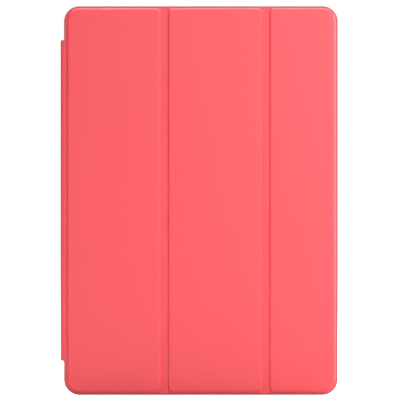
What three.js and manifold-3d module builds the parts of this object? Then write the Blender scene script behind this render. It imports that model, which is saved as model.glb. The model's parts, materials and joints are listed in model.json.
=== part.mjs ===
// A folding magnetic cover for a 240 x 169.5 x 7.5 mm tablet. A slim magnetic spine bar clings to the
// tablet's long edge, a soft hinge web leads from it to the flap, and the flap is three stiff panels joined
// by two folds.
//
// Everything is drawn in millimetres in the cover's own flat frame: x runs across the flap from the spine to
// the free edge, y runs up along the folds, and z points out of the flap's outer face. The tablet's edge is
// the plane x = 0 and z = 0 is the middle of its thickness. The exported group stands the cover up: y turns
// to +Z, z to -Y.
import * as THREE from "three";
import Module from "manifold-3d";
import { mergeVertices } from "three/addons/utils/BufferGeometryUtils.js";

const wasm = await Module();
wasm.setup();

// ---- Driving dimensions ----
const TABLET_THICKNESS = 7.5;
const FLAP_WIDTH = 169;
const FLAP_HEIGHT = 240;
const FLAP_CORNER = 9.4; // radius of the flap's outer corners
const NEAR_FOLD_X = 62.05; // centre of the fold nearer the spine
const FAR_FOLD_X = 124.75; // centre of the fold nearer the free edge

const LINING = 0.35; // microfibre
const GLUE = 0.05; // film between two layers
const BOARD = 1.15; // glass-fibre stiffener
const SKIN_FLAT = 0.3; // polyurethane skin where it is pressed onto the lining
const SKIN_RAISED = 0.4; // and where it covers a board

const RIM = 1.1; // flat rim between the flap's edge and the foot of a raised panel's slope
const SPINE_RIM = 1.6; // the same along the spine side
const SLOPE = 0.9; // how far a raised panel's edge slopes inward
const FOLD_CORNER = 2; // corner radius of a raised top beside a fold
const FOLD_AXIS = 1.7; // from a fold's centre to each of its two bending lines
const BEND_ROOM = 0.4; // left free on both sides of a bending line
const BOARD_INSET = 0.35; // from the edge of a raised top in to its board

const SPINE_LENGTH = 198;
const SPINE_HALF_HEIGHT = 2.9;
const SPINE_DEPTH = 1.5; // from the tablet's edge to the outside of the bar
const SPINE_CORNER = 0.6;
const SPINE_LINING = 0.3;
const SPINE_SKIN = 0.3;

const WEB_CENTRE = -1.825; // x of the hinge web's middle plane when the cover is shut
const WEB_SKIN = 0.3;
const WEB_LINING = 0.2;
const BEND_RADIUS = 1.625; // of that middle plane where it turns over onto the flap
const TAB = 0.9; // how far the flap's flat tab reaches out to the web
const TAB_FILLET = 0.9;

const SPINE_MAGNET = { length: 7.6, height: 4, thickness: 0.5 };
const SPINE_MAGNET_PITCH = 8.2;
const SPINE_MAGNETS_PER_GROUP = 5;
const SPINE_GROUP_Y = 62; // centre of each group, above and below the middle
const SHUNT = 0.2; // steel plate behind each group
const EDGE_MAGNET = { width: 4, length: 12 };
const EDGE_MAGNET_YS = [-90, -66, -42, -18, 18, 42, 66, 90];
const EDGE_MAGNET_INSET = 0.75; // from the board's free edge in to the magnets
const WAKE_MAGNET = { x: 150, y: 60, radius: 3 };
const KEEPER = { width: 6, length: 52 };
const KEEPER_YS = [-62, 0, 62];
const KEEPER_INSET = 0.6; // from the board's spine-side edge in to the steel keepers
const FIT = 0.2; // clearance round whatever sits in a pocket

// ---- Heights of the layers ----
const INNER_Z = TABLET_THICKNESS / 2; // the lining's face, which lies on the screen
const LINING_TOP = INNER_Z + LINING;
const CORE_Z = LINING_TOP + GLUE; // underside of the boards and of the pressed skin
const RIM_TOP = CORE_Z + SKIN_FLAT;
const BOARD_TOP = CORE_Z + BOARD;
const POCKET_TOP = BOARD_TOP + GLUE;
const OUTER_Z = POCKET_TOP + SKIN_RAISED;

const HALF_HEIGHT = FLAP_HEIGHT / 2;
const SPINE_END = SPINE_LENGTH / 2;
const EDGE_TO_TOP = RIM + SLOPE;
const FOLD_TO_PANEL = FOLD_AXIS + BEND_ROOM; // from a fold's centre to the foot of a raised panel's slope

// ---- Bending lines ----
// Skin and lining bend at the glue between them. The two lines of a fold lie in that plane, FOLD_AXIS to
// each side of its centre, and each takes half of the fold. The hinge web bends along its root on the spine
// and beside the flap. These two lines are half as far apart in z as the flap travels from screen to back.
const NEUTRAL_Z = LINING_TOP + GLUE / 2;
const bendInset = BEND_RADIUS * (1 - Math.PI / 4);
const WEB_LINES = {
  flap: { x: WEB_CENTRE + bendInset, z: NEUTRAL_Z - bendInset },
  root: { x: WEB_CENTRE, z: NEUTRAL_Z - bendInset - (TABLET_THICKNESS + OUTER_Z - INNER_Z) / 2 },
};

// ---- Materials ----
const FINISHES = {
  skin: { color: "#f5686d", roughness: 0.55, metalness: 0 },
  lining: { color: "#e8747c", roughness: 0.95, metalness: 0 },
  board: { color: "#c9c4a6", roughness: 0.6, metalness: 0 },
  core: { color: "#3c3e42", roughness: 0.6, metalness: 0 },
  magnet: { color: "#c8c9cc", roughness: 0.3, metalness: 1 },
  steel: { color: "#8f9296", roughness: 0.4, metalness: 1 },
};

// ---- The assembly: one group for each rigid body ----
const BODIES = ["spine", "hinge_web", "hinge_panel", "near_fold", "middle_panel", "far_fold", "free_panel"];
const cover = new THREE.Group();
const bodies = {};
for (const name of BODIES) {
  bodies[name] = new THREE.Group();
  cover.add(bodies[name]);
}

function add(body, name, geometry, finish) {
  const mesh = new THREE.Mesh(geometry, new THREE.MeshStandardMaterial(FINISHES[finish]));
  mesh.name = name;
  bodies[body].add(mesh);
}

// ---- Solids ----
function toSolid(geometry) {
  const bare = geometry.clone();
  bare.deleteAttribute("normal");
  bare.deleteAttribute("uv");
  const merged = mergeVertices(bare, 1e-4);
  return new wasm.Manifold(
    new wasm.Mesh({
      numProp: 3,
      vertProperties: new Float32Array(merged.attributes.position.array),
      triVerts: new Uint32Array(merged.index.array),
    }),
  );
}

function toGeometry(solid) {
  const { vertProperties, triVerts } = solid.getMesh();
  const geometry = new THREE.BufferGeometry();
  geometry.setAttribute("position", new THREE.BufferAttribute(vertProperties, 3));
  geometry.setIndex(new THREE.BufferAttribute(triVerts, 1));
  geometry.computeVertexNormals();
  return geometry;
}

// A block between two corners, each [x, y, z].
function block([x0, y0, z0], [x1, y1, z1]) {
  const geometry = new THREE.BoxGeometry(x1 - x0, y1 - y0, z1 - z0);
  return geometry.translate((x0 + x1) / 2, (y0 + y1) / 2, (z0 + z1) / 2);
}

// A flat plate of that outline from z0 to z1.
function plate(outline, z0, z1) {
  const geometry = new THREE.ExtrudeGeometry(outline, {
    depth: z1 - z0,
    bevelEnabled: false,
    curveSegments: 6,
  });
  return geometry.translate(0, 0, z0);
}

// A rectangle from x0 to x1, as far below y = 0 as above it, with a radius for its left corners and one for
// its right corners.
function roundedRectangle(x0, x1, halfHeight, leftRadius, rightRadius) {
  const shape = new THREE.Shape();
  const corner = (x, y, radius, start) => {
    if (radius > 0) shape.absarc(x, y, radius, start, start + Math.PI / 2, false);
    else shape.lineTo(x, y);
  };
  shape.moveTo(x0 + leftRadius, -halfHeight);
  corner(x1 - rightRadius, -halfHeight + rightRadius, rightRadius, -Math.PI / 2);
  corner(x1 - rightRadius, halfHeight - rightRadius, rightRadius, 0);
  corner(x0 + leftRadius, halfHeight - leftRadius, leftRadius, Math.PI / 2);
  corner(x0 + leftRadius, -halfHeight + leftRadius, leftRadius, Math.PI);
  return shape;
}

// The hinge panel's outline: rounded corners on the spine side, and a tab there that runs into the web.
function hingePanelOutline(x1) {
  const shape = new THREE.Shape();
  const quarter = Math.PI / 2;
  shape.moveTo(FLAP_CORNER, -HALF_HEIGHT);
  shape.lineTo(x1, -HALF_HEIGHT);
  shape.lineTo(x1, HALF_HEIGHT);
  shape.absarc(FLAP_CORNER, HALF_HEIGHT - FLAP_CORNER, FLAP_CORNER, quarter, 2 * quarter, false);
  shape.absarc(-TAB_FILLET, SPINE_END + TAB_FILLET, TAB_FILLET, 0, -quarter, true);
  shape.lineTo(-TAB, -SPINE_END);
  shape.absarc(-TAB_FILLET, -SPINE_END - TAB_FILLET, TAB_FILLET, quarter, 0, true);
  shape.absarc(FLAP_CORNER, -HALF_HEIGHT + FLAP_CORNER, FLAP_CORNER, 2 * quarter, 3 * quarter, false);
  return shape;
}

// Pockets through a board for a block or a disc, centred on (x, y).
function pocket(x, y, width, length) {
  const hole = new THREE.Path();
  const [w, l] = [width / 2 + FIT, length / 2 + FIT];
  hole.moveTo(x - w, y - l);
  hole.lineTo(x - w, y + l);
  hole.lineTo(x + w, y + l);
  hole.lineTo(x + w, y - l);
  hole.closePath();
  return hole;
}

function roundPocket(x, y, radius) {
  const hole = new THREE.Path();
  const quarter = Math.PI / 2;
  for (let i = 4; i > 0; i--) hole.absarc(x, y, radius + FIT, i * quarter, (i - 1) * quarter, true);
  return hole;
}

// What fills such a pocket: a block a little thinner than the board.
function insert(x, y, width, length) {
  return block(
    [x - width / 2, y - length / 2, CORE_Z + GLUE],
    [x + width / 2, y + length / 2, BOARD_TOP - GLUE],
  );
}

// ---- Panels ----
// Each has the outline of its flat layers, the left and right edges of its raised top, and that top's
// corner radii.
const outerCorner = FLAP_CORNER - EDGE_TO_TOP;
const panels = {
  hinge_panel: {
    outline: hingePanelOutline(NEAR_FOLD_X - FOLD_TO_PANEL),
    top: [SPINE_RIM + SLOPE, NEAR_FOLD_X - FOLD_TO_PANEL - SLOPE],
    radii: [outerCorner, FOLD_CORNER],
  },
  middle_panel: {
    outline: roundedRectangle(NEAR_FOLD_X + FOLD_TO_PANEL, FAR_FOLD_X - FOLD_TO_PANEL, HALF_HEIGHT, 0, 0),
    top: [NEAR_FOLD_X + FOLD_TO_PANEL + SLOPE, FAR_FOLD_X - FOLD_TO_PANEL - SLOPE],
    radii: [FOLD_CORNER, FOLD_CORNER],
  },
  free_panel: {
    outline: roundedRectangle(FAR_FOLD_X + FOLD_TO_PANEL, FLAP_WIDTH, HALF_HEIGHT, 0, FLAP_CORNER),
    top: [FAR_FOLD_X + FOLD_TO_PANEL + SLOPE, FLAP_WIDTH - EDGE_TO_TOP],
    radii: [FOLD_CORNER, outerCorner],
  },
};

// The outline of a raised top, grown by that much on all sides.
function topOutline({ top: [x0, x1], radii: [left, right] }, grow) {
  const halfHeight = HALF_HEIGHT - EDGE_TO_TOP + grow;
  return roundedRectangle(x0 - grow, x1 + grow, halfHeight, left + grow, right + grow);
}

// The skin: a pressed rim that rises over a rounded slope to a flat top, hollow underneath for the board.
function panelSkin(panel) {
  const pillow = new THREE.ExtrudeGeometry(topOutline(panel, 0), {
    depth: SKIN_FLAT,
    bevelThickness: OUTER_Z - RIM_TOP,
    bevelSize: SLOPE,
    bevelSegments: 3,
    curveSegments: 6,
  }).translate(0, 0, CORE_Z);
  const reach = FLAP_WIDTH + HALF_HEIGHT;
  const below = block([-reach, -reach, 0], [reach, reach, CORE_Z]);
  const rim = plate(panel.outline, CORE_Z, RIM_TOP);
  const hollow = plate(topOutline(panel, GLUE - BOARD_INSET), CORE_Z - 1, POCKET_TOP);
  return toGeometry(toSolid(pillow).subtract(toSolid(below)).add(toSolid(rim)).subtract(toSolid(hollow)));
}

function addPanel(name, pockets) {
  const panel = panels[name];
  const board = topOutline(panel, -BOARD_INSET);
  board.holes.push(...pockets);
  add(name, `${name}_skin`, panelSkin(panel), "skin");
  add(name, `${name}_board`, plate(board, CORE_Z, BOARD_TOP), "board");
  add(name, `${name}_lining`, plate(panel.outline, INNER_Z, LINING_TOP), "lining");
}

// Steel keepers in the hinge panel catch the free edge when the flap is folded into a stand.
function addHingePanel() {
  const x = panels.hinge_panel.top[0] + BOARD_INSET + KEEPER_INSET + KEEPER.width / 2;
  addPanel("hinge_panel", KEEPER_YS.map((y) => pocket(x, y, KEEPER.width, KEEPER.length)));
  KEEPER_YS.forEach((y, i) => {
    add("hinge_panel", `keeper_${i + 1}`, insert(x, y, KEEPER.width, KEEPER.length), "steel");
  });
}

// Magnets along the free edge hold the flap shut, and a round one tells the tablet that it is covered.
function addFreePanel() {
  const x = panels.free_panel.top[1] - BOARD_INSET - EDGE_MAGNET_INSET - EDGE_MAGNET.width / 2;
  addPanel("free_panel", [
    ...EDGE_MAGNET_YS.map((y) => pocket(x, y, EDGE_MAGNET.width, EDGE_MAGNET.length)),
    roundPocket(WAKE_MAGNET.x, WAKE_MAGNET.y, WAKE_MAGNET.radius),
  ]);
  EDGE_MAGNET_YS.forEach((y, i) => {
    const magnet = insert(x, y, EDGE_MAGNET.width, EDGE_MAGNET.length);
    add("free_panel", `edge_magnet_${i + 1}`, magnet, "magnet");
  });
  const disc = new THREE.CylinderGeometry(WAKE_MAGNET.radius, WAKE_MAGNET.radius, BOARD - 2 * GLUE, 24);
  disc.rotateX(Math.PI / 2).translate(WAKE_MAGNET.x, WAKE_MAGNET.y, CORE_Z + BOARD / 2);
  add("free_panel", "wake_magnet", disc, "magnet");
}

// A fold: a strip of skin on a strip of lining between the two bending lines.
function addFold(name, x) {
  const half = FOLD_AXIS - BEND_ROOM;
  const strip = (z0, z1) => block([x - half, -HALF_HEIGHT, z0], [x + half, HALF_HEIGHT, z1]);
  add(name, `${name}_skin`, strip(CORE_Z, RIM_TOP), "skin");
  add(name, `${name}_lining`, strip(INNER_Z, LINING_TOP), "lining");
}

// ---- Spine and hinge web ----
// The bar is square where it meets the tablet and rounded outside. Its skin is a tray, closed by the lining.
function addSpine() {
  const inside = -SPINE_LINING - GLUE;
  const [half, r] = [SPINE_HALF_HEIGHT, SPINE_CORNER];
  const section = new THREE.Shape();
  section.moveTo(inside, -half);
  section.lineTo(inside, half);
  section.absarc(-SPINE_DEPTH + r, half - r, r, Math.PI / 2, Math.PI, false);
  section.absarc(-SPINE_DEPTH + r, -half + r, r, Math.PI, 1.5 * Math.PI, false);
  const bar = new THREE.ExtrudeGeometry(section, {
    depth: SPINE_LENGTH,
    bevelEnabled: false,
    curveSegments: 3,
  });
  bar.rotateX(Math.PI / 2).translate(0, SPINE_END, 0);
  const floor = -SPINE_DEPTH + SPINE_SKIN;
  const [end, side] = [SPINE_END - SPINE_SKIN, half - SPINE_SKIN];
  const hollow = block([floor, -end, -side], [1, end, side]);
  add("spine", "spine_skin", toGeometry(toSolid(bar).subtract(toSolid(hollow))), "skin");
  add("spine", "spine_lining", block([-SPINE_LINING, -SPINE_END, -half], [0, SPINE_END, half]), "lining");

  const wall = SPINE_SKIN + GLUE;
  const coreBack = floor + GLUE;
  let core = toSolid(
    block([coreBack, -SPINE_END + wall, -half + wall], [inside - GLUE, SPINE_END - wall, half - wall]),
  );
  for (const group of ["upper", "lower"]) {
    const centre = group === "upper" ? SPINE_GROUP_Y : -SPINE_GROUP_Y;
    core = core.subtract(toSolid(addSpineMagnets(group, centre, coreBack)));
  }
  add("spine", "spine_core", toGeometry(core), "core");
}

// A row of magnets on a steel shunt, and the window they need in the core.
function addSpineMagnets(group, centre, back) {
  const { length, height, thickness } = SPINE_MAGNET;
  const reach = (SPINE_MAGNET_PITCH * (SPINE_MAGNETS_PER_GROUP - 1) + length) / 2;
  const front = back + SHUNT;
  const x0 = front + GLUE;
  const shunt = block([back, centre - reach, -height / 2], [front, centre + reach, height / 2]);
  add("spine", `spine_shunt_${group}`, shunt, "steel");
  for (let i = 0; i < SPINE_MAGNETS_PER_GROUP; i++) {
    const y0 = centre - reach + i * SPINE_MAGNET_PITCH;
    const magnet = block([x0, y0, -height / 2], [x0 + thickness, y0 + length, height / 2]);
    add("spine", `spine_magnet_${group}_${i + 1}`, magnet, "magnet");
  }
  return block(
    [-2 * SPINE_DEPTH, centre - reach - FIT, -height / 2 - FIT],
    [0, centre + reach + FIT, height / 2 + FIT],
  );
}

// The web lets the flap swing right round the spine. Shut, it stands against the outside of the bar.
function addHingeWeb() {
  const z0 = WEB_LINES.root.z + BEND_ROOM;
  const z1 = WEB_LINES.flap.z - 2 * BEND_ROOM;
  const layer = (x0, x1) => block([x0, -SPINE_END, z0], [x1, SPINE_END, z1]);
  const outside = WEB_CENTRE - (WEB_SKIN + GLUE + WEB_LINING) / 2;
  const liningOutside = outside + WEB_SKIN + GLUE;
  add("hinge_web", "hinge_web_skin", layer(outside, outside + WEB_SKIN), "skin");
  add("hinge_web", "hinge_web_lining", layer(liningOutside, liningOutside + WEB_LINING), "lining");
}

addSpine();
addHingeWeb();
addHingePanel();
addFold("near_fold", NEAR_FOLD_X);
addPanel("middle_panel", []);
addFold("far_fold", FAR_FOLD_X);
addFreePanel();

cover.rotation.x = Math.PI / 2;
const part = new THREE.Group();
part.add(cover);
export default part;
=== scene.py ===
# The looks of a folding tablet cover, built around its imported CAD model.
#
# Shapes are drawn in millimetres in the cover's flat frame: x runs across the flap from the spine
# to the free edge, up runs along the folds, and out points away from the tablet's screen. row() turns
# that into the model's own frame in metres, where x is X, up is Z and out is -Y.
import json
import math

import bmesh
import bpy
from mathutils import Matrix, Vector


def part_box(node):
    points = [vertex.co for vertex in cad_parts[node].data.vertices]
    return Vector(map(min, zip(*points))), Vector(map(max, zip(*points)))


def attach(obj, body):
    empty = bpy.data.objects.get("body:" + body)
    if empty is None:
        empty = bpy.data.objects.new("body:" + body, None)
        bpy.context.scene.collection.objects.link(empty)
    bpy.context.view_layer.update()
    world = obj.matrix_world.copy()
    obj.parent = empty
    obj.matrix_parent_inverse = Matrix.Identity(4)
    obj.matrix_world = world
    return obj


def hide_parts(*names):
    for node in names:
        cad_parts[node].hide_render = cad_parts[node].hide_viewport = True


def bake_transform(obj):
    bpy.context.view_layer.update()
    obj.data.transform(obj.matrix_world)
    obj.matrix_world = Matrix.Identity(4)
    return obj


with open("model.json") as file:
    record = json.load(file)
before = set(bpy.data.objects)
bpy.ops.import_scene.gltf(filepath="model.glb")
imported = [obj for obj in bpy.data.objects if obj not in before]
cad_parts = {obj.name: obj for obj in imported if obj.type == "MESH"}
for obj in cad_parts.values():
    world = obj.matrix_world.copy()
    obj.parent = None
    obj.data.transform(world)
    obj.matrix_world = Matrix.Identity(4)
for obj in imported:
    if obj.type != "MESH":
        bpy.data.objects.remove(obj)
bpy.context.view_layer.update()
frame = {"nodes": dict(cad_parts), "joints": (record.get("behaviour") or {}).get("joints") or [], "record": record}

MM = 0.001


# ---- Sizes from the frame ----
def flat_box(node):
    """((x0, x1), (up0, up1), (out0, out1)) of a CAD node, in millimetres."""
    low, high = (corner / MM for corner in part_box(node))
    return (low.x, high.x), (low.z, high.z), (-high.y, -low.y)


def joint_line(name):
    """(x, out) of a joint's axis, in millimetres."""
    x, y, _ = next(j["pos_m"] for j in frame["joints"] if j["name"] == name)
    return x / MM, -y / MM


def row(x, up, out):
    return Vector((x, -out, up)) * MM


_, (_, HALF_HEIGHT), (LINING_FACE, _) = flat_box("middle_panel_lining")
_, _, (_, OUTER) = flat_box("middle_panel_skin")
_, _, (_, RIM_TOP) = flat_box("near_fold_skin")
_, _, (_, BOARD_TOP) = flat_box("middle_panel_board")
# The glue line between skin and lining, where folds bend
NEUTRAL = joint_line("near_fold_free_side")[1]
TABLET_EDGE = flat_box("spine_lining")[0][1]

ROOT_X, ROOT_OUT = joint_line("spine_fold")
FLAP_LINE = joint_line("flap_fold")
# Radius of the hinge web where it turns onto the flap
BEND_RADIUS = (NEUTRAL - FLAP_LINE[1]) / (1 - math.pi / 4)
BEND_X = ROOT_X + BEND_RADIUS
BEND_OUT = NEUTRAL - BEND_RADIUS
WEB_END = flat_box("hinge_web_skin")[1][1]

FLAP_CORNER = 9.4  # radius of the flap's outer corners
FOLD_CORNER = 2.0  # radius of a raised panel's corners beside a fold
SPINE_RIM_CORNER = 6.9  # half axis of a raised top's corners across the spine side's wider rim
TAB_FILLET = 0.9  # where the hinge web meets the flap's edge
BOARD_INSET = 0.35  # from the edge of a raised top in to its board
MIN_CORNER = 0.4

# ---- Sizes of the soft layers ----
BOND = 0.005  # half of the visible line between skin and lining
SKIN_UNDERSIDE = NEUTRAL + BOND
LINING_GLUED = NEUTRAL - BOND
CAVITY_INSET = 0.3  # from the edge of a raised top in to the hollow that the board fills
CAVITY_ROOM = 0.05
PRESSED = 0.16  # how far the lining is pressed in at its rims and folds
PRESS_START = 0.05  # from the foot of the raised sides
PRESS_WIDTH = 0.6
SKIN_EDGE = (1.0, 0.26)  # rounding of the skin's cut edge: across the face and through the thickness
LINING_EDGE = (0.22, 0.14)
GLUED_EDGE = (0.05, 0.05)
FOOT_RADIUS = 0.25  # where a raised panel's side meets the rim
FLANK_ANGLE = 72
SHOULDER = (1.9, 1.15)  # half axes of the rounded shoulder, inward and down
# How much of the slope's full width is used at each kind of side
SHOULDER_SHARE = {"fold": 0.5, "spine": 0.7, "free": 1.0}
CROWN = 0.07  # how far a raised panel rises towards its middle
CROWN_INSETS = (0.5, 1.2, 2.4, 4.5, 8, 13)
CROWN_REACH = 4

CORNER_STEPS = 20
LONG_STEPS = 40
TAB_STEPS = 32  # along the seam with the hinge web
TAB_SIDE_STEPS = 4  # from the flap's corner to that seam's fillet
SHORT_STEPS = 12
ARC_STEPS = 5
STRIP_STEPS = 16
FOLD_STEPS = 24


# ---- Mesh building ----
def shares(count):
    return [i / count for i in range(1, count)]


def between(a, b, parts):
    return [(a[0] + (b[0] - a[0]) * t, a[1] + (b[1] - a[1]) * t) for t in parts]


def quarter(cx, cy, rx, ry, start, square):
    """A quarter turn round (cx, cy) from start degrees: of an ellipse, or of the box round it."""
    points = []
    for i in range(CORNER_STEPS + 1):
        angle = math.radians(start + 90 * i / CORNER_STEPS)
        c, s = math.cos(angle), math.sin(angle)
        reach = 1 / max(abs(c), abs(s)) if square else 1
        points.append((cx + rx * c * reach, cy + ry * s * reach))
    return points


def ring(
    left, right, top, left_corner, right_corner,
    square=(False, False), left_side=None, left_shares=None,
):
    """A closed outline, the same below as above. Outlines made this way have matching points."""
    (lx, ly), (rx, ry) = left_corner, right_corner
    upper_right = quarter(right - rx, top - ry, rx, ry, 0, square[1])
    upper_left = quarter(left + lx, top - ly, lx, ly, 90, square[0])
    lower_left = quarter(left + lx, ly - top, lx, ly, 180, square[0])
    lower_right = quarter(right - rx, ry - top, rx, ry, 270, square[1])
    if left_side is None:
        left_side = between(upper_left[-1], lower_left[0], left_shares or shares(LONG_STEPS))
    return [
        *upper_right,
        *between(upper_right[-1], upper_left[0], shares(SHORT_STEPS)),
        *upper_left,
        *left_side,
        *lower_left,
        *between(lower_left[-1], lower_right[0], shares(SHORT_STEPS)),
        *lower_right,
        *between(lower_right[-1], upper_right[0], shares(LONG_STEPS)),
    ]


def shell(name, loops, smooth_below=32):
    """A closed, capped mesh through matching loops. Each loop is its points, how much of a cut edge
    the sheet is there and how tightly it is pressed, both from 0 to 1."""
    mesh = bpy.data.meshes.new(name)
    count = len(loops[0][0])
    corners = [point for points, _, _ in loops for point in points]
    faces = [list(range(count)), list(range((len(loops) - 1) * count, len(loops) * count))]
    for base in range(0, (len(loops) - 1) * count, count):
        for i in range(count):
            j = (i + 1) % count
            faces.append([base + i, base + j, base + count + j, base + count + i])
    mesh.from_pydata(corners, [], faces)
    for which, mark in enumerate(("edge", "pressed"), 1):
        marks = mesh.attributes.new(mark, "FLOAT", "POINT")
        marks.data.foreach_set("value", [loop[which] for loop in loops for _ in loop[0]])
    work = bmesh.new()
    work.from_mesh(mesh)
    bmesh.ops.remove_doubles(work, verts=work.verts, dist=1e-7)
    bmesh.ops.dissolve_degenerate(work, edges=work.edges, dist=1e-8)
    bmesh.ops.recalc_face_normals(work, faces=work.faces)
    work.to_mesh(mesh)
    work.free()
    mesh.shade_smooth()
    mesh.set_sharp_from_angle(angle=math.radians(smooth_below))
    piece = bpy.data.objects.new(name, mesh)
    bpy.context.scene.collection.objects.link(piece)
    return piece


def round_edge(low, high, low_round, high_round):
    """(inset, height, edge value) up a sheet's cut edge, rounded below and above by half axes of
    (inset, height)."""
    (low_in, low_up), (high_in, high_up) = low_round, high_round
    angles = [math.pi / 2 * i / ARC_STEPS for i in range(ARC_STEPS + 1)]
    points = [(low_in * (1 - math.sin(a)), low + low_up * (1 - math.cos(a))) for a in angles]
    points += [(high_in * (1 - math.cos(a)), high - high_up * (1 - math.sin(a))) for a in angles]
    reach = max(low_in, high_in)
    return [(inset, height, 1 - inset / reach) for inset, height in points]


def slope(low, high):
    """(distance in from the foot, height) up the side of a raised panel: a concave arc, a straight
    flank and an elliptical shoulder."""
    steepest = math.radians(FLANK_ANGLE)
    reach, drop = SHOULDER
    points = []
    for i in range(ARC_STEPS + 1):
        angle = steepest * i / ARC_STEPS
        points.append((FOOT_RADIUS * math.sin(angle), low + FOOT_RADIUS * (1 - math.cos(angle))))
    shoulder = []
    for i in range(3 * ARC_STEPS + 1):
        angle = steepest * (1 - i / (3 * ARC_STEPS))
        turn = math.atan2(drop * math.cos(angle), reach * math.sin(angle))
        shoulder.append((-reach * math.cos(turn), high - drop * (1 - math.sin(turn))))
    flank = (shoulder[0][1] - points[-1][1]) / math.tan(steepest)
    shift = points[-1][0] + flank - shoulder[0][0]
    return points + [(x + shift, height) for x, height in shoulder]


# ---- Panels ----
def tab_side(inset):
    """The flap's spine side from its upper corner down to its lower one, set in by that much: a
    straight edge, a fillet that starts the tab, and the seam where the hinge web takes over."""
    centre_up = WEB_END + TAB_FILLET
    radius = TAB_FILLET + inset
    straight = HALF_HEIGHT - FLAP_CORNER
    edge = TABLET_EDGE + inset
    half = between((edge, straight), (edge, centre_up), shares(TAB_SIDE_STEPS))
    last = math.acos((TAB_FILLET + BEND_X - TABLET_EDGE) / radius)
    for i in range(ARC_STEPS + 1):
        angle = last * i / ARC_STEPS
        x = TABLET_EDGE - TAB_FILLET + radius * math.cos(angle)
        half.append((x, centre_up - radius * math.sin(angle)))
    mirrored = [(x, -up) for x, up in reversed(half)]
    return [*half, *between(half[-1], mirrored[0], shares(TAB_STEPS)), *mirrored]


def tab_shares():
    """Where along a straight spine side its points lie level with those of the tab's flat part."""
    straight = HALF_HEIGHT - FLAP_CORNER
    return [(straight - up) / (2 * straight) for _, up in tab_side(SKIN_EDGE[0])]


class Panel:
    """The outlines of one panel of the flap. A side is "fold", "spine" or "free"."""

    def __init__(self, name, left_kind, right_kind):
        self.name = name
        self.left_kind, self.right_kind = left_kind, right_kind
        (self.left, self.right), _, _ = flat_box(f"{name}_skin")
        if left_kind == "spine":
            self.left = TABLET_EDGE
        (board_left, board_right), (_, board_up), _ = flat_box(f"{name}_board")
        self.top_left = board_left - BOARD_INSET
        self.top_right = board_right + BOARD_INSET
        self.top_up = board_up + BOARD_INSET
        self.rim = HALF_HEIGHT - self.top_up
        self.foot = self.top_left - self.left if left_kind == "fold" else self.right - self.top_right

    def outline(self, inset):
        """The cut outline, set in by that much on its free sides and not at its seams."""
        corners = []
        for kind in (self.left_kind, self.right_kind):
            if kind == "fold":
                corners.append((self.foot + FOLD_CORNER, self.rim + FOLD_CORNER - inset))
            else:
                corners.append((FLAP_CORNER - inset, FLAP_CORNER - inset))
        left = self.left if self.left_kind == "fold" else self.left + inset
        right = self.right if self.right_kind == "fold" else self.right - inset
        square = (self.left_kind == "fold", self.right_kind == "fold")
        left_side = tab_side(inset) if self.left_kind == "spine" else None
        return ring(left, right, HALF_HEIGHT - inset, *corners, square, left_side)

    def top(self, distance, narrowed=True):
        """The outline at that distance in from the foot of the raised sides. Narrowed, the distance
        is shorter at the sides where the shoulder is tighter."""
        radii = {
            "fold": (FOLD_CORNER, FOLD_CORNER),
            "spine": (SPINE_RIM_CORNER, FLAP_CORNER - self.rim),
            "free": (FLAP_CORNER - self.rim, FLAP_CORNER - self.rim),
        }
        up_growth = self.foot - distance
        growths, corners = [], []
        for kind in (self.left_kind, self.right_kind):
            share = SHOULDER_SHARE[kind] if narrowed else 1
            growth = self.foot - distance * share
            growths.append(growth)
            across, along = radii[kind]
            corners.append((max(across + growth, MIN_CORNER), max(along + up_growth, MIN_CORNER)))
        return ring(
            self.top_left - growths[0],
            self.top_right + growths[1],
            self.top_up + up_growth,
            *corners,
            left_shares=tab_shares() if self.left_kind == "spine" else None,
        )


def at_height(outline, out, edge=0.0, pressed=0.0):
    return [row(x, up, out) for x, up in outline], edge, pressed


def panel_skin(panel):
    """Polyurethane skin: a pressed rim that rises over a soft shoulder to a slightly crowned top,
    and the hollow underneath that the board fills."""
    ceiling = BOARD_TOP + CAVITY_ROOM
    hollow = panel.top(panel.foot + CAVITY_INSET, narrowed=False)
    loops = [at_height(hollow, out) for out in (ceiling, SKIN_UNDERSIDE)]
    for inset, out, edge in round_edge(SKIN_UNDERSIDE, RIM_TOP, GLUED_EDGE, SKIN_EDGE):
        loops.append(at_height(panel.outline(inset), out, edge))
    sides = slope(RIM_TOP, OUTER)
    loops += [at_height(panel.top(distance), out) for distance, out in sides]
    for inset in CROWN_INSETS:
        rise = CROWN * (1 - math.exp(-inset / CROWN_REACH))
        loops.append(at_height(panel.top(sides[-1][0] + inset), OUTER + rise))
    return shell(f"{panel.name}_outer_skin", loops)


def panel_lining(panel):
    """Microfibre lining, pressed thinner along its rims and folds than over the board."""
    rim_face = LINING_FACE + PRESSED
    cut_edge = reversed(round_edge(rim_face, LINING_GLUED, LINING_EDGE, GLUED_EDGE))
    loops = [at_height(panel.outline(inset), out, edge, 1.0) for inset, out, edge in cut_edge]
    for i in range(ARC_STEPS + 1):
        t = i / ARC_STEPS
        swell = t * t * (3 - 2 * t)
        outline = panel.top(PRESS_START + PRESS_WIDTH * t, narrowed=False)
        loops.append(at_height(outline, rim_face - PRESSED * swell, pressed=1 - swell))
    return shell(f"{panel.name}_inner_lining", loops)


# ---- Folds and hinge web: strips of sheet ----
def strip(name, stations, low, high, low_round, high_round, end):
    """A strip of sheet along a path. Each station is ((x, out), (normal x, normal out)), and the
    sheet lies from low to high along the normal. end(x, inset) says how far up it reaches there."""
    section = round_edge(low, high, low_round, high_round)
    loops = []
    for (x, out), (nx, nout) in stations:
        points = []
        for sign, side in ((1, section), (-1, list(reversed(section)))):
            for inset, height, _ in side:
                at_x = x + nx * height
                points.append(row(at_x, sign * end(at_x, inset), out + nout * height))
        loops.append((points, 0.0, 1.0))
    piece = shell(name, loops)
    paint_edges(piece, end)
    return piece


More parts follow.
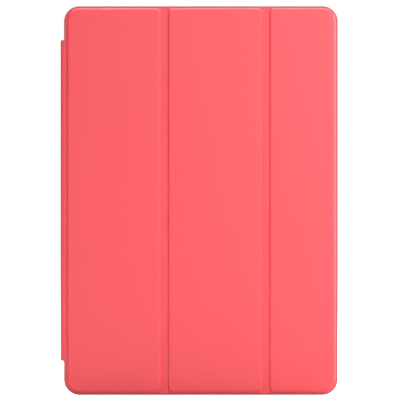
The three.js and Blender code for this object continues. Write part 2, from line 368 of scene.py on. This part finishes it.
def paint_edges(piece, end):
    """Marks how close each point is to the strip's cut ends."""
    for vertex, mark in zip(piece.data.vertices, piece.data.attributes["edge"].data):
        x, up = vertex.co.x / MM, abs(vertex.co.z) / MM
        depth = end(x, 0) - up
        mark.value = max(0.0, 1 - depth / SKIN_EDGE[0])


def flap_end(_, inset):
    return HALF_HEIGHT - inset


def web_end(x, inset):
    """The hinge web's end, with the fillet that widens it towards the flap."""
    across = max(0.0, x - TABLET_EDGE + TAB_FILLET)
    radius = TAB_FILLET + inset
    return WEB_END + TAB_FILLET - math.sqrt(max(radius * radius - across * across, 0))


LAYERS = {
    "skin": (BOND, RIM_TOP - NEUTRAL, GLUED_EDGE, SKIN_EDGE),
    "lining": (LINING_FACE + PRESSED - NEUTRAL, -BOND, LINING_EDGE, GLUED_EDGE),
}


def fold_halves(fold, before, after):
    """Each fold's skin and lining, as two flat halves: one from the panel before it to the fold's middle, and one
    from there on to the next panel."""
    seam_left = flat_box(f"{before}_lining")[0][1]
    seam_right = flat_box(f"{after}_lining")[0][0]
    centre = (seam_left + seam_right) / 2
    made = []
    for half, x0, x1, bodies, axis in (
        ("a", seam_left, centre, (before, fold), joint_line(f"{fold}_spine_side")[0]),
        ("b", centre, seam_right, (fold, after), joint_line(f"{fold}_free_side")[0]),
    ):
        across = [x0 + (x1 - x0) * i / FOLD_STEPS for i in range(FOLD_STEPS + 1)]
        stations = [((x, NEUTRAL), (0, 1)) for x in across]
        for layer, sizes in LAYERS.items():
            piece = strip(f"{fold}_{layer}_{half}", stations, *sizes, flap_end)
            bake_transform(piece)
            made.append((piece, layer, f"{fold}_{layer}"))
    return made


ROOT_RADIUS = 0.3
ROOT_START = 0.05  # how deep the web's root starts inside the spine's skin
LINK_MIDDLE = 1.0


def web_root_path():
    """Out of the spine's outer face and up beside it."""
    face = ROOT_X + ROOT_RADIUS
    stations = [((face + ROOT_START, ROOT_OUT), (0, -1))]
    for i in range(STRIP_STEPS + 1):
        angle = math.pi / 2 * i / STRIP_STEPS
        normal = (-math.sin(angle), -math.cos(angle))
        centre = (face, ROOT_OUT + ROOT_RADIUS)
        point = (centre[0] + ROOT_RADIUS * normal[0], centre[1] + ROOT_RADIUS * normal[1])
        stations.append((point, normal))
    stations.append(((ROOT_X, LINK_MIDDLE), (-1, 0)))
    return stations


def web_bend_path():
    """Up from the middle of the web and over onto the flap."""
    stations = [((ROOT_X, LINK_MIDDLE), (-1, 0))]
    for i in range(2 * STRIP_STEPS + 1):
        angle = math.pi / 2 * i / (2 * STRIP_STEPS)
        normal = (-math.cos(angle), math.sin(angle))
        point = (BEND_X + BEND_RADIUS * normal[0], BEND_OUT + BEND_RADIUS * normal[1])
        stations.append((point, normal))
    return stations


def hinge_web():
    made = []
    for layer, sizes in LAYERS.items():
        root = strip(f"hinge_web_{layer}_root", web_root_path(), *sizes, web_end)
        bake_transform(root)
        bend = strip(f"hinge_web_{layer}_bend", web_bend_path(), *sizes, web_end)
        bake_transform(bend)
        made += [(root, layer, f"hinge_web_{layer}"), (bend, layer, f"hinge_web_{layer}")]
    return made


# ---- Spine ----
SPINE_PLAN_CORNER = 0.5
SPINE_ROUND = 0.6
SPINE_WALL = 0.3
SPINE_FACE_ROUND = 0.12
SPINE_LINING_INSET = 0.02  # of the lining's hidden face
# Inset, depth and edge value at the lip of the spine's tray
SPINE_LIP = ((0.04, 0.0, 1.0), (0.0, 0.05, 0.8), (0.0, 0.2, 0.0))


def spine_ring(inset, depth, edge=0.0):
    """The bar's outline against the tablet, set in by that much, at that depth out from the
    tablet's edge."""
    (_, _), (_, up), (out0, out1) = flat_box("spine_skin")
    corner = max(SPINE_PLAN_CORNER - inset, SPINE_PLAN_CORNER / 4)
    points = ring(out0 + inset, out1 - inset, up - inset, (corner, corner), (corner, corner))
    return [row(TABLET_EDGE - depth, along, out) for out, along in points], edge, 0.0


def spine_skin():
    """A tray of skin round the bar, open towards the tablet."""
    (back, front), _, _ = flat_box("spine_skin")
    deep, shallow = TABLET_EDGE - back, TABLET_EDGE - front
    loops = [spine_ring(SPINE_WALL, deep - SPINE_WALL), spine_ring(SPINE_WALL, shallow, 1.0)]
    loops += [spine_ring(inset, shallow + depth, edge) for inset, depth, edge in SPINE_LIP]
    for i in range(2 * ARC_STEPS + 1):
        angle = math.pi / 2 * i / (2 * ARC_STEPS)
        inset = SPINE_ROUND * (1 - math.cos(angle))
        loops.append(spine_ring(inset, deep - SPINE_ROUND * (1 - math.sin(angle))))
    return shell("spine_outer_skin", loops)


def spine_lining():
    """The microfibre face that lies against the tablet."""
    (back, front), _, _ = flat_box("spine_lining")
    loops = [spine_ring(SPINE_LINING_INSET, TABLET_EDGE - back, 1.0)]
    for i in range(ARC_STEPS + 1):
        angle = math.pi / 2 * i / ARC_STEPS
        inset = SPINE_FACE_ROUND * (1 - math.cos(angle))
        depth = TABLET_EDGE - front + SPINE_FACE_ROUND * (1 - math.sin(angle))
        loops.append(spine_ring(inset, depth, 1 - i / ARC_STEPS))
    return shell("spine_inner_lining", loops)


# ---- Materials ----
FLOOR_GLOW = (0.5, 1.0)  # near the object and far from it
FLOOR_GLOW_REACH = (0.12, 0.6)  # metres from the object


class Shader:
    """A material with one Principled shader, and short ways to make and join its nodes."""

    def __init__(self, name, **sockets):
        self.material = bpy.data.materials.new(name)
        self.material.use_nodes = True
        self.tree = self.material.node_tree
        self.surface = next(n for n in self.tree.nodes if n.type == "BSDF_PRINCIPLED")
        self.position = self.add("ShaderNodeTexCoord").outputs["Object"]
        for socket, value in sockets.items():
            self.surface.inputs[socket.replace("_", " ")].default_value = value

    def add(self, kind, inputs=None, **settings):
        node = self.tree.nodes.new(kind)
        for name, value in settings.items():
            setattr(node, name, value)
        for name, value in (inputs or {}).items():
            self.join(value, node.inputs[name])
        return node

    def join(self, value, socket):
        if isinstance(value, bpy.types.NodeSocket):
            self.tree.links.new(value, socket)
        else:
            socket.default_value = value

    def noise(self, scale, detail=2.0, roughness=0.5, stretch=None):
        where = self.position
        if stretch:
            stretched = self.add("ShaderNodeMapping", {"Vector": where, "Scale": stretch})
            where = stretched.outputs["Vector"]
        settings = {"Vector": where, "Scale": scale, "Detail": detail, "Roughness": roughness}
        return self.add("ShaderNodeTexNoise", settings).outputs["Fac"]

    def scaled(self, value, low, high, start=0.0, end=1.0):
        """value from start to end becomes low to high."""
        settings = {
            "Value": value,
            "From Min": start,
            "From Max": end,
            "To Min": low,
            "To Max": high,
        }
        return self.add("ShaderNodeMapRange", settings).outputs["Result"]

    def maths(self, operation, a, b):
        return self.add("ShaderNodeMath", {0: a, 1: b}, operation=operation).outputs[0]

    def mixed(self, share, a, b, blend="MIX"):
        node = self.add("ShaderNodeMix", data_type="RGBA", blend_type=blend)
        self.join(share, node.inputs["Factor"])
        for value, socket in ((a, node.inputs[6]), (b, node.inputs[7])):
            self.join(value, socket)
        return node.outputs[2]

    def shade(self, colour, brightness):
        """The colour at a varying brightness."""
        node = self.add("ShaderNodeHueSaturation", {"Color": colour, "Value": brightness})
        return node.outputs["Color"]

    def mark(self, name):
        return self.add("ShaderNodeAttribute", attribute_name=name).outputs["Fac"]

    def bump(self, height, distance, strength=1.0, after=None):
        settings = {"Height": height, "Distance": distance, "Strength": strength}
        if after is not None:
            settings["Normal"] = after
        return self.add("ShaderNodeBump", settings).outputs["Normal"]

    def finish(self, colour, roughness, normal):
        self.join(colour, self.surface.inputs["Base Color"])
        self.join(roughness, self.surface.inputs["Roughness"])
        self.join(normal, self.surface.inputs["Normal"])
        return self.material


def colour(red, green, blue):
    return (red, green, blue, 1.0)


CORAL_SKIN = colour(0.935, 0.092, 0.11)
CORAL_LINING = colour(0.80, 0.105, 0.12)
# Partly the cut edge's own colour, partly painted shade where the skin's edge rounds away from the light
SKIN_CUT_AND_EDGE_SHADE = colour(0.42, 0.13, 0.145)
LINING_CUT = colour(0.35, 0.06, 0.065)
SKIN_GRAIN = 0.00003  # metres, as bump distances are


def skin_material():
    """Satin polyurethane with a very fine grain, a little uneven in tone, whose cut edges are darker and rougher.
    The darker band reaches over the outer rim: partly the cut edge's own colour, partly painted shade where the
    edge rounds away from the light."""
    shader = Shader("coral_polyurethane", IOR=1.5, Sheen_Weight=0.05, Sheen_Roughness=0.4)
    cloud = shader.noise(28, detail=3)
    speckle = shader.noise(1400, detail=1)
    clouded = shader.scaled(cloud, 0.985, 1.015)
    tone = shader.maths("ADD", clouded, shader.scaled(speckle, -0.01, 0.01))
    base = shader.shade(CORAL_SKIN, tone)
    # Darker towards the cut edge and over the rim: the edge's own colour, with painted shade where it rounds away
    # from the light
    cut = shader.scaled(shader.mark("edge"), 0.0, 1.0, 0.05, 0.5)
    cut_edge_and_painted_shade = shader.mixed(cut, base, SKIN_CUT_AND_EDGE_SHADE)
    cells = shader.add("ShaderNodeTexVoronoi", {"Vector": shader.position, "Scale": 3200})
    pores = cells.outputs["Distance"]
    satin = shader.scaled(shader.maths("ADD", cloud, speckle), 0.37, 0.43, 0.6, 1.4)
    roughness = shader.maths("ADD", satin, shader.maths("MULTIPLY", cut, 0.35))
    fine = shader.bump(pores, SKIN_GRAIN, 0.8)
    normal = shader.bump(shader.noise(420, detail=2), SKIN_GRAIN, 0.4, fine)
    return shader.finish(cut_edge_and_painted_shade, roughness, normal)


def lining_material():
    """Short-nap microfibre: patches where the nap lies differently, and single fibres up close."""
    shader = Shader(
        "coral_microfibre", Specular_IOR_Level=0.15, Sheen_Weight=0.32, Sheen_Roughness=0.6
    )
    shader.surface.inputs["Sheen Tint"].default_value = colour(1.0, 0.62, 0.62)
    nap = shader.noise(45, detail=3, roughness=0.6, stretch=(1.0, 1.0, 0.45))
    fibres = shader.noise(2600, detail=3, roughness=0.7, stretch=(1.0, 1.0, 0.35))
    patches = shader.scaled(nap, 0.97, 1.03, 0.3, 0.7)
    tone = shader.maths("ADD", patches, shader.scaled(fibres, -0.07, 0.07, 0.2, 0.8))
    # Darker where the lining is pressed: partly the crushed nap's own colour, partly painted shade along the folds
    # and rims
    tone = shader.maths("MULTIPLY", tone, shader.scaled(shader.mark("pressed"), 1.0, 0.86))
    base = shader.shade(CORAL_LINING, tone)
    frayed = shader.mixed(shader.scaled(shader.mark("edge"), 0.0, 0.35), base, LINING_CUT)
    return shader.finish(frayed, shader.scaled(nap, 0.86, 0.98), shader.bump(fibres, 0.00006, 0.5))


def board_material():
    """Glass-fibre sheet with a plain weave in pale resin."""
    shader = Shader("glass_fibre_board", IOR=1.53)
    weave = []
    for direction in ("X", "Z"):
        settings = {"Vector": shader.position, "Scale": 160, "Distortion": 0.2}
        wave = shader.add("ShaderNodeTexWave", settings, bands_direction=direction)
        weave.append(wave.outputs["Fac"])
    threads = shader.maths("MULTIPLY", *weave)
    base = shader.mixed(threads, colour(0.36, 0.37, 0.2), colour(0.6, 0.58, 0.38))
    base = shader.shade(base, shader.scaled(shader.noise(60), 0.92, 1.06))
    roughness = shader.scaled(threads, 0.35, 0.55)
    return shader.finish(base, roughness, shader.bump(threads, 0.00005, 0.4))


def core_material():
    """Dark moulded plastic with a fine spark-eroded texture."""
    shader = Shader("moulded_core")
    grain = shader.noise(1800, detail=4, roughness=0.6)
    base = shader.mixed(grain, colour(0.035, 0.037, 0.042), colour(0.06, 0.063, 0.07))
    return shader.finish(base, shader.scaled(grain, 0.5, 0.72), shader.bump(grain, 0.00003, 0.4))


def metal_material(name, pale, dark, roughness, stretch):
    """Plated or rolled metal with fine streaks and a few tarnished clouds."""
    shader = Shader(name, Metallic=1.0)
    streaks = shader.noise(500, detail=3, roughness=0.65, stretch=stretch)
    clouds = shader.noise(180, detail=2)
    base = shader.mixed(shader.scaled(clouds, 0.0, 0.5, 0.35, 0.75), pale, dark)
    uneven = shader.maths("ADD", streaks, clouds)
    finish = shader.scaled(uneven, roughness - 0.06, roughness + 0.1, 0.6, 1.4)
    return shader.finish(base, finish, shader.bump(streaks, 0.00001, 0.3))


def magnet_material():
    pale, dark = colour(0.62, 0.61, 0.58), colour(0.45, 0.44, 0.41)
    return metal_material("nickel_plate", pale, dark, roughness=0.24, stretch=(1.0, 1.0, 1.0))


def steel_material():
    pale, dark = colour(0.42, 0.43, 0.44), colour(0.25, 0.255, 0.26)
    return metal_material("rolled_steel", pale, dark, roughness=0.36, stretch=(1.0, 1.0, 0.06))


def floor_material():
    """Matt pale paper, glowing more away from the object, as a lit studio sweep does. Only the camera
    sees the glow, so that it doesn't light the object from below."""
    shader = Shader("studio_floor", Specular_IOR_Level=0.0)
    grain = shader.noise(90, detail=3)
    base = shader.mixed(grain, colour(0.64, 0.64, 0.64), colour(0.67, 0.67, 0.67))
    shader.finish(base, 0.9, shader.bump(grain, 0.0001, 0.1))
    away = shader.add("ShaderNodeVectorMath", {0: shader.position}, operation="LENGTH")
    glow = shader.scaled(away.outputs["Value"], *FLOOR_GLOW, *FLOOR_GLOW_REACH)
    seen = shader.add("ShaderNodeLightPath").outputs["Is Camera Ray"]
    shader.join(colour(1.0, 1.0, 1.0), shader.surface.inputs["Emission Color"])
    shader.join(shader.maths("MULTIPLY", glow, seen), shader.surface.inputs["Emission Strength"])
    return shader.material


# ---- The object ----
def finish_piece(piece, material):
    piece.data.materials.append(material)


def declare_sheets(panels, made):
    """The sheets were cut to each panel's outline. Gathers, for each panel and layer, the narrow strips at its
    folds and spine that go with its own sheet, and does nothing with them."""
    neighbours = {
        "hinge_panel": ("spine_", "hinge_web_", "near_fold_*_a"),
        "middle_panel": ("near_fold_*_b", "far_fold_*_a"),
        "free_panel": ("far_fold_*_b",),
    }
    for panel in panels:
        for layer, held in (("skin", "stretched"), ("lining", "laid")):
            pieces = [piece for piece, its_layer in made if its_layer == layer]
            strips = []
            for pattern in neighbours[panel.name]:
                start, _, end = pattern.partition("*")
                strips += [p for p in pieces if p.name.startswith(start) and p.name.endswith(end)]


def build_cover():
    materials = {"skin": skin_material(), "lining": lining_material()}
    made = []
    panels = [
        Panel("hinge_panel", "spine", "fold"),
        Panel("middle_panel", "fold", "fold"),
        Panel("free_panel", "fold", "free"),
    ]
    for panel in panels:
        for layer, make in (("skin", panel_skin), ("lining", panel_lining)):
            piece = make(panel)
            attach(piece, panel.name)
            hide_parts(f"{panel.name}_{layer}")
            finish_piece(piece, materials[layer])
            made.append((piece, layer))
    bending = [
        *fold_halves("near_fold", "hinge_panel", "middle_panel"),
        *fold_halves("far_fold", "middle_panel", "free_panel"),
        *hinge_web(),
    ]
    for piece, layer, node in bending:
        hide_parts(node)
        finish_piece(piece, materials[layer])
        made.append((piece, layer))
    for layer, make in (("skin", spine_skin), ("lining", spine_lining)):
        piece = make()
        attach(piece, "spine")
        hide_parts(f"spine_{layer}")
        finish_piece(piece, materials[layer])
        made.append((piece, layer))
    declare_sheets(panels, made)


def finish_inner_parts():
    """The stiffeners, magnets and steel inside keep their CAD shapes and get real finishes."""
    finishes = {
        "board": board_material(),
        "core": core_material(),
        "magnet": magnet_material(),
        "steel": steel_material(),
    }
    kinds = {s["node"]: s["material_slot"] for s in frame["record"]["subparts"]}
    for name, node in frame["nodes"].items():
        if kinds[name] in finishes:
            node.data.materials.clear()
            node.data.materials.append(finishes[kinds[name]])


# ---- Studio, in metres ----
FLOOR_REACH = 3.0
LIGHTS_AIM = Vector((0.084, 0, 0))  # the middle of the flap
VIEW_WIDTH = 0.24695  # at the flap
VIEW_CENTRE = (0.08398, 0.0003)  # across and up


def build_floor():
    low = -HALF_HEIGHT * MM
    mesh = bpy.data.meshes.new("studio_floor")
    corners = [
        (-FLOOR_REACH, -FLOOR_REACH, low),
        (FLOOR_REACH, -FLOOR_REACH, low),
        (FLOOR_REACH, FLOOR_REACH, low),
        (-FLOOR_REACH, FLOOR_REACH, low),
    ]
    mesh.from_pydata(corners, [], [(0, 1, 2, 3)])
    floor = bpy.data.objects.new("studio_floor", mesh)
    bpy.context.scene.collection.objects.link(floor)
    mesh.materials.append(floor_material())


def add_light(name, place, size, power):
    """A soft rectangular light aimed at the middle of the flap."""
    data = bpy.data.lights.new(name, "AREA")
    data.shape = "RECTANGLE"
    data.size, data.size_y = size
    data.energy = power
    light = bpy.data.objects.new(name, data)
    bpy.context.scene.collection.objects.link(light)
    light.location = place
    aim = LIGHTS_AIM - light.location
    light.rotation_euler = aim.to_track_quat("-Z", "Y").to_euler()
    light.visible_camera = False


def build_lights():
    add_light("key", (0.42, -0.75, 0.28), (0.5, 0.5), 3.6)
    add_light("front_fill", (0.3, -2.4, 0.4), (1.2, 1.2), 1.4)
    add_light("top_strip", (0.12, -0.15, 1.2), (1.4, 0.4), 9.0)
    add_light("right_strip", (1.25, -0.15, 0.1), (0.4, 1.2), 8.0)
    add_light("top_rim", (0.12, 0.25, 1.2), (1.4, 0.4), 18.0)
    add_light("right_rim", (1.25, 0.2, 0.1), (0.4, 1.2), 20.0)
    add_light("back_key", (-0.35, 1.35, 0.6), (0.6, 0.6), 4.8)
    add_light("back_fill", (0.6, 2.2, 0.4), (1.2, 1.2), 1.6)


def build_world():
    """White behind the object, and a dimmer even light from all round."""
    world = bpy.data.worlds.new("studio")
    bpy.context.scene.world = world
    world.use_nodes = True
    tree = world.node_tree
    ambient = tree.nodes["Background"]
    ambient.inputs["Color"].default_value = colour(1.0, 1.0, 1.0)
    ambient.inputs["Strength"].default_value = 0.08
    backdrop = tree.nodes.new("ShaderNodeBackground")
    backdrop.inputs["Color"].default_value = colour(1.0, 1.0, 1.0)
    backdrop.inputs["Strength"].default_value = 1.0
    seen = tree.nodes.new("ShaderNodeLightPath").outputs["Is Camera Ray"]
    mix = tree.nodes.new("ShaderNodeMixShader")
    tree.links.new(seen, mix.inputs["Fac"])
    tree.links.new(ambient.outputs["Background"], mix.inputs[1])
    tree.links.new(backdrop.outputs["Background"], mix.inputs[2])
    tree.links.new(mix.outputs["Shader"], tree.nodes["World Output"].inputs["Surface"])


def build_camera():
    """Square on to the outer face, from far away with a long lens."""
    lens, sensor = 300, 36
    data = bpy.data.cameras.new("camera")
    data.lens = lens
    data.sensor_width = sensor
    data.clip_end = 50
    camera = bpy.data.objects.new("camera", data)
    bpy.context.scene.collection.objects.link(camera)
    across, up = VIEW_CENTRE
    camera.location = (across, -OUTER * MM - VIEW_WIDTH * lens / sensor, up)
    camera.rotation_euler = (math.pi / 2, 0, 0)
    bpy.context.scene.camera = camera


build_cover()
finish_inner_parts()
build_floor()
build_lights()
build_world()
build_camera()
bpy.context.scene.view_settings.view_transform = "Standard"
